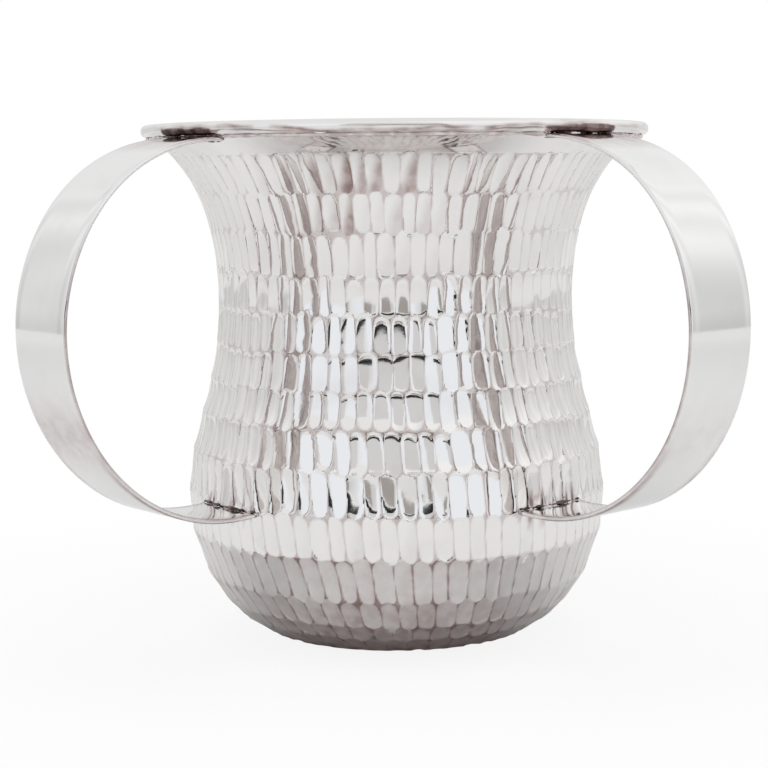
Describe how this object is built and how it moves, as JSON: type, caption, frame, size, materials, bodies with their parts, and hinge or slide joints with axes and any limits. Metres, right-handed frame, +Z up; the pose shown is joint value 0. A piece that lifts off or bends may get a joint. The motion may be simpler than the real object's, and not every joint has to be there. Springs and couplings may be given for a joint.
{
  "type": "washing cup",
  "caption": "Bell-shaped hammered silver washing cup with a flared, wire-edged mouth, a rounded flat-bottomed body and wide C-shaped strap handles.",
  "frame": {"origin": "centre of the flat underside, on the axis of the bowl", "axes": "+Z up along the bowl's axis to the mouth, -Y to the front, where the handles come forward, +X to the right seen from the front"},
  "size_m": [0.1628, 0.1384, 0.1274],
  "materials": {
    "silver_sheet": "polished silver sheet with rows of hammer marks",
    "silver_wire": "polished silver wire",
    "silver_strap": "polished flat silver strap with softened edges",
    "silver_solder": "cleaned silver solder, duller than the sheet"
  },
  "bodies": {
    "root": {"bowl": "silver_sheet", "rim_wire": "silver_wire", "front_rim_solder": "silver_solder", "back_rim_solder": "silver_solder", "left_handle": "silver_strap", "left_upper_solder": "silver_solder", "left_lower_solder": "silver_solder", "right_handle": "silver_strap", "right_upper_solder": "silver_solder", "right_lower_solder": "silver_solder"}
  },
  "joints": []
}
